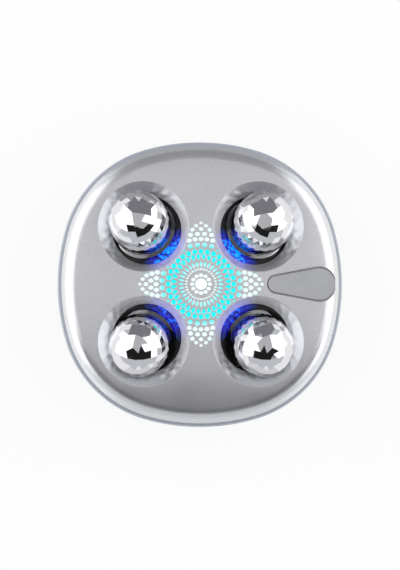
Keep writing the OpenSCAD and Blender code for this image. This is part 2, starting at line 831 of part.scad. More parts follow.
// Open spring clip in the shaft's groove
module shaft_clip(corner) {
    color("gray") at_corner(corner) on_axle() translate([0, 0, -clip_l - clip_t])
        linear_extrude(clip_t) difference() {
            circle(shaft_r + clip_w, $fn = 48);
            circle(shaft_r - groove_depth + seat_gap, $fn = 48);
            translate([shaft_r + clip_w, 0]) square([2 * (shaft_r + clip_w), shaft_r], center = true);
        }
}

// Bent leaf that presses on the end of the shaft
module contact_spring(corner) {
    touch = shaft_l + fit_gap;
    end = [roller_reach - touch * sin(roller_tilt), face_z + roller_rise - touch * cos(roller_tilt)];
    along = [cos(roller_tilt), -sin(roller_tilt)];
    bend = end - leaf_bend * along;
    foot_z = board_top + leaf_t;
    path = [end + leaf_tip * along, bend, [bend[0] - leaf_run[0], foot_z], [bend[0] - leaf_run[1], foot_z]];
    color("darkgoldenrod") at_corner(corner) rotate([90, 0, 0]) linear_extrude(leaf_w, center = true)
        polygon(concat(path, [for (i = [3:-1:0]) path[i] - [0, leaf_t]]));
}

// ---- Boards, frame and cell

module main_board() {
    color("green") translate([0, 0, board_z]) linear_extrude(board_t) difference() {
        circle(board_r);
        at_board_posts() circle(board_thread_r + fit_gap, $fn = 24);
    }
}

// Blocks on the main board: place and size
BLOCKS = [
    [[-8, -5], [9, 9, 1.4]], [[3, -7], [5, 4, 1]], [[3, 0], [7, 7, 3.2]], [[-6, 7], [8, 5, 3]]
];

// Round capacitors on the main board: place, radius and height
CANS = [[[-3, -16], 2.5, 4.5], [[4, -16], 2.5, 4.5]];

module board_parts() {
    color([0.15, 0.15, 0.17]) translate([0, 0, board_top]) {
        for (block = BLOCKS) translate(block[0]) cube(block[1]);
        for (can = CANS) translate(can[0]) cylinder(h = can[2], r = can[1], $fn = 24);
    }
}

module inner_frame() {
    cage = [cell_size[0] + 2 * (cage_wall + fit_gap), cell_size[1] + 2 * (cage_wall + fit_gap)];
    cage_h = pad_t + cell_size[2] * cage_share;
    color("whitesmoke") difference() {
        union() {
            translate([0, 0, frame_z]) cylinder(h = frame_t, r = board_r);
            translate([-cage[0] / 2, -cage[1] / 2, frame_z - cage_h])
                cube([cage[0], cage[1], cage_h + frame_t / 2]);
        }
        translate([-cell_size[0] / 2 - fit_gap, -cell_size[1] / 2 - fit_gap, frame_z - cage_h - overcut])
            cube([cell_size[0] + 2 * fit_gap, cell_size[1] + 2 * fit_gap, cage_h + overcut]);
        // Windows in the wide parts of the plate
        for (x = [-1, 1], y = [-1, 1]) translate([x * window_at[0], y * window_at[1], frame_z - overcut])
            cylinder(h = frame_t + 2 * overcut, r = window_r);
        at_board_posts() translate([0, 0, frame_z - overcut])
            cylinder(h = frame_t + 2 * overcut, r = board_thread_r + fit_gap, $fn = 24);
    }
}

module battery_pad() {
    color("darkslategray") translate([-cell_size[0] / 2, -cell_size[1] / 2, frame_z - pad_t])
        cube([cell_size[0], cell_size[1], pad_t]);
}

module battery() {
    r = cell_edge_r;
    color([0.75, 0.77, 0.8]) translate([0, 0, cell_z]) linear_extrude(cell_size[2]) {
        square([cell_size[0] - 2 * r, cell_size[1]], center = true);
        square([cell_size[0], cell_size[1] - 2 * r], center = true);
        for (x = [-1, 1], y = [-1, 1]) translate([x * (cell_size[0] / 2 - r), y * (cell_size[1] / 2 - r)])
            circle(r, $fn = 24);
    }
}

module board_screws() {
    color("gainsboro") at_board_posts() translate([0, 0, frame_z - seat_gap])
        pan_screw(board_thread_r - seat_gap, frame_t + board_t + board_screw_l, board_screw_head);
}

// ---- Charging port

module port_cover() {
    color([0.66, 0.66, 0.68]) {
        translate([0, 0, port_top - port_t]) linear_extrude(port_t) difference() {
            teardrop(0);
            translate([port_hinge_x + port_hinge_gap - body_w, -body_w / 2]) square(body_w);
        }
        translate([port_wide_x - port_stem[0] / 2, -port_stem[1] / 2, port_top - port_t - port_stem[2]])
            cube([port_stem[0], port_stem[1], port_stem[2] + port_t / 2]);
    }
}

// Fixed end of the port cover, with its stud through the cover
module port_cover_root() {
    stud_z = port_floor_z - port_block_t - fit_gap - stud_head_t;
    color([0.66, 0.66, 0.68]) {
        translate([0, 0, port_top - port_t]) linear_extrude(port_t) intersection() {
            teardrop(0);
            translate([port_hinge_x - port_hinge_gap - body_w, -body_w / 2]) square(body_w);
        }
        translate([stud_x, 0, stud_z]) cylinder(h = port_top - port_t / 2 - stud_z, r = stud_r, $fn = 36);
        translate([stud_x, 0, stud_z]) cylinder(h = stud_head_t, r = stud_r + stud_head_w, $fn = 36);
    }
}

module usb_socket() {
    color("silver") translate([port_wide_x, 0, port_board_z + board_t]) {
        linear_extrude(port_shell_l) difference() {
            slot(port_w, port_h);
            slot(port_w - 2 * port_shell_wall, port_h - 2 * port_shell_wall);
        }
        linear_extrude(port_foot_t) slot(port_w - port_shell_wall, port_h - port_shell_wall);
        translate([-port_tongue_t / 2, -port_tongue_w / 2, 0])
            cube([port_tongue_t, port_tongue_w, port_shell_l - port_tongue_drop]);
    }
}

module usb_board() {
    color("green") translate([port_wide_x, 0, port_board_z]) linear_extrude(board_t) difference() {
        square(usb_board_size, center = true);
        for (side = [-1, 1]) translate([port_post_x - port_wide_x, side * port_post_y])
            circle(socket_thread_r + fit_gap, $fn = 24);
    }
}

// ---- Power button

module power_button() {
    color([0.8, 0.82, 0.85]) difference() {
        union() {
            translate([0, 0, button_recess]) cylinder(h = button_t, r = button_r);
            translate([0, 0, shell_wall + fit_gap])
                cylinder(h = button_flange_t, r = button_r + button_flange_w);
            translate([0, 0, button_recess])
                cylinder(h = stem_top - button_recess, r = plunger_r + stem_w, $fn = 36);
        }
        // Shallow dish for the fingertip
        translate([0, 0, button_recess + button_dish - button_dish_r]) sphere(button_dish_r, $fn = 180);
    }
}

module switch_plunger() {
    foot = stem_top + seat_gap;
    color("black") translate([0, 0, foot])
        cylinder(h = switch_z + plunger_l_in - foot, r = plunger_r, $fn = 36);
}

module switch_housing() {
    color("silver") translate([0, 0, switch_z]) difference() {
        translate([-switch_w / 2, -switch_w / 2, 0]) cube([switch_w, switch_w, switch_h]);
        translate([0, 0, -overcut])
            cylinder(h = switch_h + overcut - switch_roof_t, r = plunger_r + run_gap, $fn = 36);
    }
}

module button_board() {
    color("green") translate([0, 0, button_board_z]) linear_extrude(button_board_t) difference() {
        square(button_board_size, center = true);
        for (x = [-1, 1], y = [-1, 1]) translate([x * stake_at[0], y * stake_at[1]])
            circle(stake_r + fit_gap, $fn = 24);
    }
}

module status_lens() {
    color("white") translate([status_x, 0, fit_gap]) {
        cylinder(h = button_board_z - 2 * fit_gap, r = status_r, $fn = 24);
        translate([0, 0, shell_wall]) cylinder(h = status_collar_t, r = status_r + status_collar_w, $fn = 24);
    }
}

treatment_cover();
palm_shell();
case_seal();
grille_diffuser();
light_box();
led_board();
grille_leds();
board_spacers();
socket_cup(REAR_RIGHT);  // socket_cup_rear_right
socket_cup(REAR_LEFT);  // socket_cup_rear_left
socket_cup(FRONT_LEFT);  // socket_cup_front_left
socket_cup(FRONT_RIGHT);  // socket_cup_front_right
glow_lens(REAR_RIGHT);  // glow_lens_rear_right
glow_lens(REAR_LEFT);  // glow_lens_rear_left
glow_lens(FRONT_LEFT);  // glow_lens_front_left
glow_lens(FRONT_RIGHT);  // glow_lens_front_right
glow_leds();
socket_screws();
shaft_bush(REAR_RIGHT);  // shaft_bush_rear_right
shaft_bush(REAR_LEFT);  // shaft_bush_rear_left
shaft_bush(FRONT_LEFT);  // shaft_bush_front_left
shaft_bush(FRONT_RIGHT);  // shaft_bush_front_right
roller_ball(REAR_RIGHT);  // roller_ball_rear_right
roller_ball(REAR_LEFT);  // roller_ball_rear_left
roller_ball(FRONT_LEFT);  // roller_ball_front_left
roller_ball(FRONT_RIGHT);  // roller_ball_front_right
roller_shaft(REAR_RIGHT);  // roller_shaft_rear_right
roller_shaft(REAR_LEFT);  // roller_shaft_rear_left
roller_shaft(FRONT_LEFT);  // roller_shaft_front_left
roller_shaft(FRONT_RIGHT);  // roller_shaft_front_right
shaft_clip(REAR_RIGHT);  // shaft_clip_rear_right
shaft_clip(REAR_LEFT);  // shaft_clip_rear_left
shaft_clip(FRONT_LEFT);  // shaft_clip_front_left
shaft_clip(FRONT_RIGHT);  // shaft_clip_front_right
contact_spring(REAR_RIGHT);  // contact_spring_rear_right
contact_spring(REAR_LEFT);  // contact_spring_rear_left
contact_spring(FRONT_LEFT);  // contact_spring_front_left
contact_spring(FRONT_RIGHT);  // contact_spring_front_right
main_board();
board_parts();
inner_frame();
battery_pad();
battery();
board_screws();
port_cover();
port_cover_root();
usb_socket();
usb_board();
power_button();
switch_plunger();
switch_housing();
button_board();
status_lens();
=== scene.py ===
"""Dresses the solids of a four-roller facial toning device and sets them in a plain studio."""
import json
import math

import bmesh
import bpy
from bpy.props import FloatProperty, FloatVectorProperty, IntProperty, PointerProperty
from bpy.types import Operator, Panel, PropertyGroup
from mathutils import Matrix, Vector


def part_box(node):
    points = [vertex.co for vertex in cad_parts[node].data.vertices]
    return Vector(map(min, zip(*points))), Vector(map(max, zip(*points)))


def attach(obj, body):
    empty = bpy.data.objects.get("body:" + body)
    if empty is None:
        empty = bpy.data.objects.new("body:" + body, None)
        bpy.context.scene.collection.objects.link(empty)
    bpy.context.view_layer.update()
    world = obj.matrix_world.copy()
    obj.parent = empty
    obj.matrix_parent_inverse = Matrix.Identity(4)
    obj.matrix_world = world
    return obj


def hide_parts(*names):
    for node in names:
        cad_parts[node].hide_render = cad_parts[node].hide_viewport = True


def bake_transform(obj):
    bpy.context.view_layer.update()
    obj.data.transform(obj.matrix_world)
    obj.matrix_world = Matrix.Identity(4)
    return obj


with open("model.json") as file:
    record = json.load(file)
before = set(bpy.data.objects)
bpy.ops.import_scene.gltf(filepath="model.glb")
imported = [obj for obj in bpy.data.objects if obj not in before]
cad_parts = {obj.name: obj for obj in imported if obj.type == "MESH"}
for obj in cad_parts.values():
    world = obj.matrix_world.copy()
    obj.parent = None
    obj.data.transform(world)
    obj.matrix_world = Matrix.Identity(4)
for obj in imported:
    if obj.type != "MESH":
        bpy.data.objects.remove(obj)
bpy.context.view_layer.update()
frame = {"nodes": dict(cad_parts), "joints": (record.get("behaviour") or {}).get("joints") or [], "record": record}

bl_info = {
    "name": "Facial toning device",
    "version": (1, 0, 0),
    "blender": (4, 5, 0),
    "location": "View3D > Sidebar > Toning device",
    "description": "Builds the finished pieces of a facial toning device around its solids",
    "category": "Add Mesh",
}

MM = 0.001
CORNERS = ("rear_right", "rear_left", "front_left", "front_right")
FACE_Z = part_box("treatment_cover")[1].z
SEAM_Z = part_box("palm_shell")[1].z

# ---- Fixed measures of the pieces

MERGE = 0.002 * MM  # corners of a solid that are nearer than this are one
SMOOTH_TURN = math.radians(32)  # a piece is smooth over edges that turn by less
COVER_TURN = math.radians(18)  # keeps the rims of the dishes crisp
MOULDING_TURN = math.radians(40)

# Sockets: distance of their mouths from the middle, radius, and reach of the light round a mouth
MOUTH_OUT = 26.6 * MM
MOUTH_R = 12 * MM
SPILL_NEAR = MOUTH_R + 0.3 * MM
SPILL_FAR = MOUTH_R + 3.4 * MM

# Rollers: depth below the ball's centre, along its axle, over which the plating is darkened as painted shade,
# where the ball sits deep in its socket
SKIRT_TOP = 2.4 * MM
SKIRT_FOOT = 9.3 * MM
FACET_TURN = math.radians(1.5)
FLAT_TURN = math.radians(0.4)  # triangles that turn by less are one facet
FOLD_LEAST = math.radians(2)  # edges that turn by this much up to FOLD_MOST are worn
FOLD_MOST = math.radians(60)
FACET_CORNERS = 5  # a face with more corners closes the ball and isn't a facet

# Silicone cover
SLACK = 0.10 * MM  # gap that it leaves all round
NARROW_R = 3.05 * MM  # radius of its narrow end, with the slack
LID_DEPTH = 1.6 * MM
RIM_BAND = 0.1 * MM  # edges this close to the top belong to the rim
WIDE_STEPS, NARROW_STEPS = 56, 36  # steps round its two ends
BEND_CUTS, BEND_CUTS_BEFORE = 13, 5  # cuts across its root, and how many come before the bend
BEND_STEP = 0.25 * MM
SUNK = 0.5 * MM  # how far plug and stud reach up into the lid
PLUG_THICK, PLUG_WIDE, PLUG_EDGE = 1.6 * MM, 7.2 * MM, 0.35 * MM
STUD_IN = 1.85 * MM  # how far the stud's middle lies in from the narrow end
STUD_R, STUD_HEAD_R, STUD_HEAD_DEPTH = 1.1 * MM, 1.7 * MM, 1.0 * MM

# Light behind the grille: radius in mm, how white it is, and how bright
GRILLE_LIGHT = (
    (0, 1, 1), (4.9, 1, 1), (6.0, 0.6, 1), (8.2, 0, 1),
    (12.8, 0, 1), (13.7, 0.3, 0.95), (15.4, 1, 0.9),
)

# ---- Fixed measures of the stage

FLOOR_R = 3
FLOOR_DROP = 0.04 * MM  # keeps the floor clear of the rest face
FLOOR_WHITE = 0.85  # share of plain white in what the camera and mirrors see of the floor
BOX_DISTANCE, BOX_LENGTH = 0.9, 1.5  # soft boxes
FLOOR_CARD_Z = -0.032  # 2 mm above the floor

# Cards that only mirrors see: name, colour, then the side nearer to the device and the one
# farther off, each as half its width, y and z from the middle of the treatment face
CARDS = (
    ("near_card", (0.014, 0.014, 0.014), (0.16, -0.040, 0.12), (0.16, -0.152, 0.12)),
    ("far_card", (0.22, 0.22, 0.24), (0.071, 0.068, 0.09), (0.30, 0.50, -0.02)),
    ("far_floor_card", (0.40, 0.40, 0.42),
     (0.05, 0.056, FLOOR_CARD_Z), (0.30, 0.55, FLOOR_CARD_Z)),
    ("near_floor_card", (0.74, 0.74, 0.76),
     (0.05, -0.056, FLOOR_CARD_Z), (0.20, -0.40, FLOOR_CARD_Z)),
)


# ---- Sizes and colours that a user would change

class ToningCover(PropertyGroup):
    """Paint of the treatment cover"""
    paint: FloatVectorProperty(
        name="Paint", description="Colour of the metallic paint", subtype="COLOR",
        size=3, min=0, max=1, default=(0.79, 0.795, 0.815))
    roughness: FloatProperty(
        name="Roughness", description="How far the paint spreads a reflection",
        subtype="FACTOR", min=0, max=1, default=0.30)
    fleck: FloatProperty(
        name="Fleck size", description="Size of the metal flecks in the paint", unit="LENGTH",
        min=0.00005, max=0.001, default=0.00022)
    edge: FloatProperty(
        name="Edge softness", description="Radius that the paint gives to a sharp edge",
        unit="LENGTH", min=0, max=0.001, default=0.0003)


class ToningShell(PropertyGroup):
    """Lacquer of the palm shell and of its button"""
    lacquer: FloatVectorProperty(
        name="Lacquer", description="Colour of the palm shell", subtype="COLOR",
        size=3, min=0, max=1, default=(0.46, 0.495, 0.56))
    button: FloatVectorProperty(
        name="Button", description="Colour of the power button", subtype="COLOR",
        size=3, min=0, max=1, default=(0.62, 0.64, 0.68))


class ToningRollers(PropertyGroup):
    """Plating and edges of the faceted rollers"""
    plating: FloatVectorProperty(
        name="Plating", description="Colour of the mirror plating", subtype="COLOR",
        size=3, min=0, max=1, default=(0.79, 0.79, 0.81))
    # Painted shade on the part of each ball that sits deep in its socket
    skirt: FloatProperty(
        name="Skirt shade", description="How bright the plating stays in the depth of the sockets",
        subtype="FACTOR", min=0, max=1, default=0.44)
    edge: FloatProperty(
        name="Facet edge", description="Width of the worn edge between two facets",
        unit="LENGTH", min=0, max=0.0003, default=0.00006)


class ToningLights(PropertyGroup):
    """Colours and strengths of the lights that are part of the device"""
    glow: FloatVectorProperty(
        name="Socket glow", description="Colour of the light in the sockets", subtype="COLOR",
        size=3, min=0, max=1, default=(0.0, 0.19, 1.0))
    depth: FloatVectorProperty(
        name="Socket shade", description="Colour of the darker patches in that light",
        subtype="COLOR", size=3, min=0, max=1, default=(0.010, 0.004, 0.30))
    glow_strength: FloatProperty(
        name="Socket strength", description="Strength of the light in the sockets",
        min=0, max=20, default=1.6)
    glow_start: FloatProperty(
        name="Glow start",
        description="Distance from the middle up to which the sockets are fully lit",
        unit="LENGTH", min=0.01, max=0.03, default=0.0150)
    glow_end: FloatProperty(
        name="Glow end",
        description="Distance from the middle at which the light in the sockets has faded",
        unit="LENGTH", min=0.01, max=0.04, default=0.0212)
    glow_front: FloatProperty(
        name="Front share", description="Strength of the front pair as a share of the rear pair",
        subtype="FACTOR", min=0, max=1, default=0.55)
    spill: FloatVectorProperty(
        name="Spilled light",
        description="Colour of the light that spills over the inner side of the dishes",
        subtype="COLOR", size=3, min=0, max=1, default=(0.16, 0.14, 1.0))
    spill_strength: FloatProperty(
        name="Spill strength", description="Strength of that spilled light",
        min=0, max=5, default=0.7)
    ring: FloatVectorProperty(
        name="Grille ring", description="Colour of the light behind the petals of the grille",
        subtype="COLOR", size=3, min=0, max=1, default=(0.0, 0.95, 0.97))
    middle: FloatVectorProperty(
        name="Grille middle", description="Colour of the light behind the middle and the arms",
        subtype="COLOR", size=3, min=0, max=1, default=(0.96, 1.0, 1.0))


class ToningPort(PropertyGroup):
    """Silicone cover of the charging port"""
    silicone: FloatVectorProperty(
        name="Silicone", description="Colour of the port cover", subtype="COLOR",
        size=3, min=0, max=1, default=(0.405, 0.41, 0.425))
    edge: FloatProperty(
        name="Edge radius", description="Radius of the cover's top edge", unit="LENGTH",
        min=0.0001, max=0.0008, default=0.0004)
    edge_steps: IntProperty(
        name="Edge steps", description="Steps round the top edge", min=1, max=8, default=4)


class ToningStage(PropertyGroup):
    """Camera, floor and lights"""
    view_distance: FloatProperty(
        name="Camera distance", description="Height of the camera above the seam",
        unit="LENGTH", min=0.3, max=3, default=0.8)
    view_width: FloatProperty(
        name="Width in view", description="Width seen at the height of the seam",
        unit="LENGTH", min=0.05, max=1, default=0.14045)
    view_lean: FloatVectorProperty(
        name="Camera lean",
        description="How far the camera leans towards +X and +Y from straight above",
        subtype="EULER", unit="ROTATION", size=2,
        default=(math.radians(-2.5), math.radians(-1.2)))
    aim: FloatVectorProperty(
        name="Aim", description="Point at the height of the seam that the camera looks at",
        subtype="XYZ", unit="LENGTH", size=2, default=(-0.00007, -0.00018))
    floor: FloatVectorProperty(
        name="Floor", description="Colour of the floor", subtype="COLOR",
        size=3, min=0, max=1, default=(0.92, 0.92, 0.92))
    fill: FloatProperty(
        name="Fill", description="Brightness of the room", min=0, max=3, default=0.55)
    overhead: FloatProperty(
        name="Overhead", description="Brightness that mirrors see straight above",
        min=0, max=3, default=0.53)
    around: FloatProperty(
        name="Around", description="Brightness that mirrors see all round",
        min=0, max=3, default=0.62)
    side_light: FloatProperty(
        name="Side lights", description="Brightness of the two long soft boxes",
        min=0, max=5, default=1.02)


# ---- Materials

def tinted(colour, share, lift=0.0):
    """A colour made darker or lighter by a share, and then lifted"""
    return [min(1, c * share + lift) for c in colour]


class Nodes:
    """The nodes of a material or of the room, added in steps"""

    def __init__(self, owner):
        owner.use_nodes = True
        self.tree = owner.node_tree

    def node(self, kind, **settings):
        made = self.tree.nodes.new(kind)
        for key, value in settings.items():
            setattr(made, key, value)
        return made

    def link(self, source, target):
        self.tree.links.new(source, target)

    def combine(self, operation, first, second):
        """One Math node over a socket and another socket or number"""
        step = self.node("ShaderNodeMath", operation=operation)
        self.link(first, step.inputs[0])
        if isinstance(second, bpy.types.NodeSocket):
            self.link(second, step.inputs[1])
        else:
            step.inputs[1].default_value = second
        return step.outputs["Value"]

    def ramp(self, value, stops):
        """Colours over a value: stops are (position, grey or colour)"""
        ramp = self.node("ShaderNodeValToRGB")
        elements = ramp.color_ramp.elements
        while len(elements) < len(stops):
            elements.new(0.5)
        for element, (position, colour) in zip(elements, stops):
            element.position = position
            element.color = (*colour, 1) if hasattr(colour, "__len__") else (*[colour] * 3, 1)
        self.link(value, ramp.inputs["Fac"])
        return ramp.outputs["Color"]

    def rays(self, *kinds):
        """1 for a ray of one of these kinds, and 0 for any other"""
        path = self.node("ShaderNodeLightPath")
        share = path.outputs[kinds[0]]
        for kind in kinds[1:]:
            share = self.combine("MAXIMUM", share, path.outputs[kind])
        return share

    def mix(self, share, first, second):
        """A shader that gives way to a second one by a share"""
        mix = self.node("ShaderNodeMixShader")
        for source, target in zip((share, first, second), mix.inputs):
            self.link(source, target)
        return mix.outputs["Shader"]

    def even(self, kind, colour=(1, 1, 1)):
        """An Emission or Background of one colour, at strength 1"""
        even = self.node(kind)
        even.inputs["Color"].default_value = (*colour, 1)
        even.inputs["Strength"].default_value = 1.0
        return even.outputs[0]

    def show(self, shader, output="Material Output"):
        self.link(shader, self.tree.nodes[output].inputs["Surface"])


class Finish(Nodes):
    """A procedural material on Object coordinates"""

    # Noise seldom leaves these limits
    NOISE_LOW, NOISE_HIGH = 0.3, 0.7

    def __init__(self, name, colour, roughness, metallic=0.0):
        self.material = bpy.data.materials.new(name)
        super().__init__(self.material)
        self.shader = self.tree.nodes["Principled BSDF"]
        self.shader.inputs["Base Color"].default_value = (*colour, 1)
        self.shader.inputs["Roughness"].default_value = roughness
        self.shader.inputs["Metallic"].default_value = metallic
        self.colour = tuple(colour)
        self.place = self.node("ShaderNodeTexCoord").outputs["Object"]

    def noise(self, size, detail=2.0, stretch=(1, 1, 1)):
        """Soft noise whose features are about size across"""
        mapping = self.node("ShaderNodeMapping")
        mapping.inputs["Scale"].default_value = stretch
        noise = self.node("ShaderNodeTexNoise")
        noise.inputs["Scale"].default_value = 1 / size
        noise.inputs["Detail"].default_value = detail
        self.link(self.place, mapping.inputs["Vector"])
        self.link(mapping.outputs["Vector"], noise.inputs["Vector"])
        return noise.outputs["Fac"]

    def cells(self, size):
        """A random value for each cell of about that size"""
        cells = self.node("ShaderNodeTexVoronoi")
        cells.inputs["Scale"].default_value = 1 / size
        self.link(self.place, cells.inputs["Vector"])
        return cells.outputs["Color"]

    def along(self, axis):
        """Place along one axis"""
        parts = self.node("ShaderNodeSeparateXYZ")
        self.link(self.place, parts.inputs["Vector"])
        return parts.outputs[axis]

    def distance(self, out=0.0):
        """Distance seen from above, from the nearest of four points this far out on the
        diagonals; with 0 that is the middle"""
        side = out / math.sqrt(2)
        vector = self.place
        for operation, numbers in (
                ("MULTIPLY", (1, 1, 0)), ("ABSOLUTE", None), ("SUBTRACT", (side, side, 0))):
            step = self.node("ShaderNodeVectorMath", operation=operation)
            self.link(vector, step.inputs[0])
            if numbers:
                step.inputs[1].default_value = numbers
            vector = step.outputs["Vector"]
        length = self.node("ShaderNodeVectorMath", operation="LENGTH")
        self.link(vector, length.inputs[0])
        return length.outputs["Value"]

    def spread(self, value, start, end, low=0.0, high=1.0):
        """Moves softly from low to high while a value goes from start to end"""
        spread = self.node("ShaderNodeMapRange", interpolation_type="SMOOTHSTEP")
        limits = {"From Min": start, "From Max": end, "To Min": low, "To Max": high}
        for name, number in limits.items():
            spread.inputs[name].default_value = number
        self.link(value, spread.inputs["Value"])
        return spread.outputs["Result"]

    def product(self, first, second):
        return self.combine("MULTIPLY", first, second)

    def mottle(self, value, share):
        """Lets a value darken and lighten the base colour by a share"""
        colours = self.ramp(value, [
            (self.NOISE_LOW, tinted(self.colour, 1 - share)),
            (self.NOISE_HIGH, tinted(self.colour, 1 + share))])
        self.link(colours, self.shader.inputs["Base Color"])

    def patchy(self, value, low, high):
        """Lets a value move the roughness between two limits"""
        greys = self.ramp(value, [(self.NOISE_LOW, low), (self.NOISE_HIGH, high)])
        self.link(greys, self.shader.inputs["Roughness"])

    def bump(self, value, height, strength):
        """Adds to what bumps the surface already"""
        bump = self.node("ShaderNodeBump")
        bump.inputs["Strength"].default_value = strength
        bump.inputs["Distance"].default_value = height
        self.link(value, bump.inputs["Height"])
        normal = self.shader.inputs["Normal"]
        if normal.is_linked:
            self.link(normal.links[0].from_socket, bump.inputs["Normal"])
        self.link(bump.outputs["Normal"], normal)

    def soften(self, radius):
        """Shades the sharp edges as if they were rounded to a radius; comes before any bump"""
        rounded = self.node("ShaderNodeBevel", samples=6)
        rounded.inputs["Radius"].default_value = radius
        self.link(rounded.outputs["Normal"], self.shader.inputs["Normal"])

    def coat(self, weight, roughness):
        self.shader.inputs["Coat Weight"].default_value = weight
        self.shader.inputs["Coat Roughness"].default_value = roughness

    def glow(self, colour, strength):
        """Gives off light, of one colour or of colours that vary over the surface"""
        emission = self.shader.inputs["Emission Color"]
        if isinstance(colour, bpy.types.NodeSocket):
            self.link(colour, emission)
        else:
            emission.default_value = (*colour, 1)
        self.shader.inputs["Emission Strength"].default_value = strength


def cover_paint(cover, lights):
    """Silver paint with flecks, on which the sockets' light spills round the inner side of
    each dish"""
    paint = Finish("metallic_silver_paint", cover.paint, cover.roughness, metallic=0.9)
    flecks = paint.cells(cover.fleck)
    paint.soften(cover.edge)
    paint.mottle(flecks, share=0.05)
    paint.patchy(paint.noise(12 * MM), cover.roughness - 0.02, cover.roughness + 0.03)
    paint.bump(flecks, height=0.004 * MM, strength=0.25)
    paint.bump(paint.noise(1.2 * MM, detail=3), height=0.006 * MM, strength=0.3)
    rim = paint.spread(paint.distance(MOUTH_OUT), SPILL_FAR, SPILL_NEAR)
    inner = paint.spread(paint.distance(), lights.glow_end, lights.glow_start * 0.98)
    streaks = paint.ramp(paint.noise(0.7 * MM, detail=3), [(0.38, 0.25), (0.62, 1.0)])
    share = paint.product(paint.product(rim, inner), streaks)
    spill = paint.ramp(share, [(0.0, (0, 0, 0)), (1.0, lights.spill)])
    paint.glow(spill, lights.spill_strength)
    return paint.material


def shell_lacquer(shell):
    lacquer = Finish("blue_grey_lacquer", shell.lacquer, roughness=0.42, metallic=0.25)
    lacquer.mottle(lacquer.cells(0.2 * MM), share=0.07)
    lacquer.patchy(lacquer.noise(15 * MM), low=0.39, high=0.45)
    lacquer.bump(lacquer.noise(1.6 * MM, detail=3), height=0.006 * MM, strength=0.3)
    lacquer.coat(weight=0.2, roughness=0.15)
    return lacquer.material


def button_lacquer(shell):
    lacquer = Finish("button_lacquer", shell.button, roughness=0.3, metallic=0.7)
    lacquer.mottle(lacquer.cells(0.2 * MM), share=0.05)
    lacquer.bump(lacquer.noise(1.2 * MM, detail=3), height=0.005 * MM, strength=0.3)
    lacquer.coat(weight=0.4, roughness=0.1)
    return lacquer.material


def roller_plating(name, colour):
    plating = Finish(name, colour, roughness=0.045, metallic=1.0)
    plating.patchy(plating.noise(2 * MM, detail=4), low=0.03, high=0.07)
    plating.bump(plating.noise(3.5 * MM), height=0.012 * MM, strength=0.25)
    return plating.material


def satin_metal(name, colour, roughness, brushed=(1, 1, 1)):
    metal = Finish(name, colour, roughness, metallic=1.0)
    grain = metal.noise(0.4 * MM, detail=3, stretch=brushed)
    metal.mottle(grain, share=0.12)
    metal.patchy(metal.noise(2 * MM), max(0.02, roughness - 0.06), roughness + 0.08)
    metal.bump(grain, height=0.008 * MM, strength=0.4)
    return metal.material


def moulded_plastic(name, colour, roughness, texture=0.5 * MM):
    plastic = Finish(name, colour, roughness)
    plastic.mottle(plastic.noise(6 * MM), share=0.06)
    plastic.patchy(plastic.noise(3 * MM), max(0.02, roughness - 0.05), roughness + 0.07)
    plastic.bump(plastic.noise(texture, detail=3), height=0.01 * MM, strength=0.35)
    return plastic.material


def matt_silicone(port, top):
    """Silicone with painted shade just below its top edge, on the side wall that faces the gap round it"""
    silicone = Finish("matt_silicone", port.silicone, roughness=0.52)
    # Painted shade: the colour falls to 8 % of itself just below the top edge, in the gap
    gap = silicone.spread(silicone.along("Z"), top - port.edge * 0.5, top - port.edge * 0.06)
    cloud = silicone.spread(
        silicone.noise(4 * MM), Finish.NOISE_LOW, Finish.NOISE_HIGH, low=0.94)
    shade = silicone.ramp(silicone.product(gap, cloud), [
        (0.0, tinted(silicone.colour, 0.08)), (1.0, silicone.colour)])
    silicone.link(shade, silicone.shader.inputs["Base Color"])
    silicone.bump(silicone.noise(0.25 * MM), height=0.006 * MM, strength=0.4)
    silicone.shader.inputs["Sheen Weight"].default_value = 0.15
    silicone.shader.inputs["Sheen Roughness"].default_value = 0.4
    return silicone.material


def circuit_board(name, colour):
    """Solder mask with a close pattern of tracks"""
    board = Finish(name, colour, roughness=0.38)
    tracks = board.node("ShaderNodeTexBrick")
    for socket, value in {
            "Scale": 420, "Mortar Size": 0.035, "Color1": (*colour, 1),
            "Color2": (*tinted(colour, 0.8), 1), "Mortar": (*tinted(colour, 1.9, 0.01), 1),
    }.items():
        tracks.inputs[socket].default_value = value
    board.link(board.place, tracks.inputs["Vector"])
    board.link(tracks.outputs["Color"], board.shader.inputs["Base Color"])
    board.coat(weight=0.5, roughness=0.15)
    return board.material


def light_guide(name, lights):
    """Clear plastic lit where it is nearest to the middle: patchy, fading outwards and weaker
    at the front"""
    guide = Finish(name, tinted(lights.glow, 0.1), roughness=0.22)
    fade = guide.spread(guide.distance(), lights.glow_end, lights.glow_start)
    weaker = guide.spread(guide.along("Y"), -4 * MM, 4 * MM, low=lights.glow_front)
    patches = guide.ramp(guide.noise(1.2 * MM, detail=3), [(0.36, 0.06), (0.64, 1.0)])
    colours = guide.ramp(guide.product(guide.product(fade, weaker), patches), [
        (0.0, (0, 0, 0.004)), (0.28, lights.depth), (0.62, lights.glow),
        (1.0, tinted(lights.glow, 1.6))])
    guide.glow(colours, lights.glow_strength)
    return guide.material


def lit_diffuser(lights, arms):
    """Milky plastic lit from behind: white in the middle, coloured under the petals and paler
    towards the ends of the arms"""
    milk = Finish("lit_diffuser", tinted(lights.ring, 0.25, 0.005), roughness=0.5)
    share = milk.node("ShaderNodeMapRange")
    share.inputs["From Max"].default_value = arms
    milk.link(milk.distance(), share.inputs["Value"])
    stops = []
    for radius, white, level in GRILLE_LIGHT:
        tint = [level * (white * m + (1 - white) * r) for m, r in zip(lights.middle, lights.ring)]
        stops.append((radius * MM / arms, tint))
    milk.glow(milk.ramp(share.outputs["Result"], stops), 1.0)
    return milk.material


# ---- Meshes

def placed(name, data):
    """An object in the scene"""
    made = bpy.data.objects.new(name, data)
    bpy.context.scene.collection.objects.link(made)
    return made


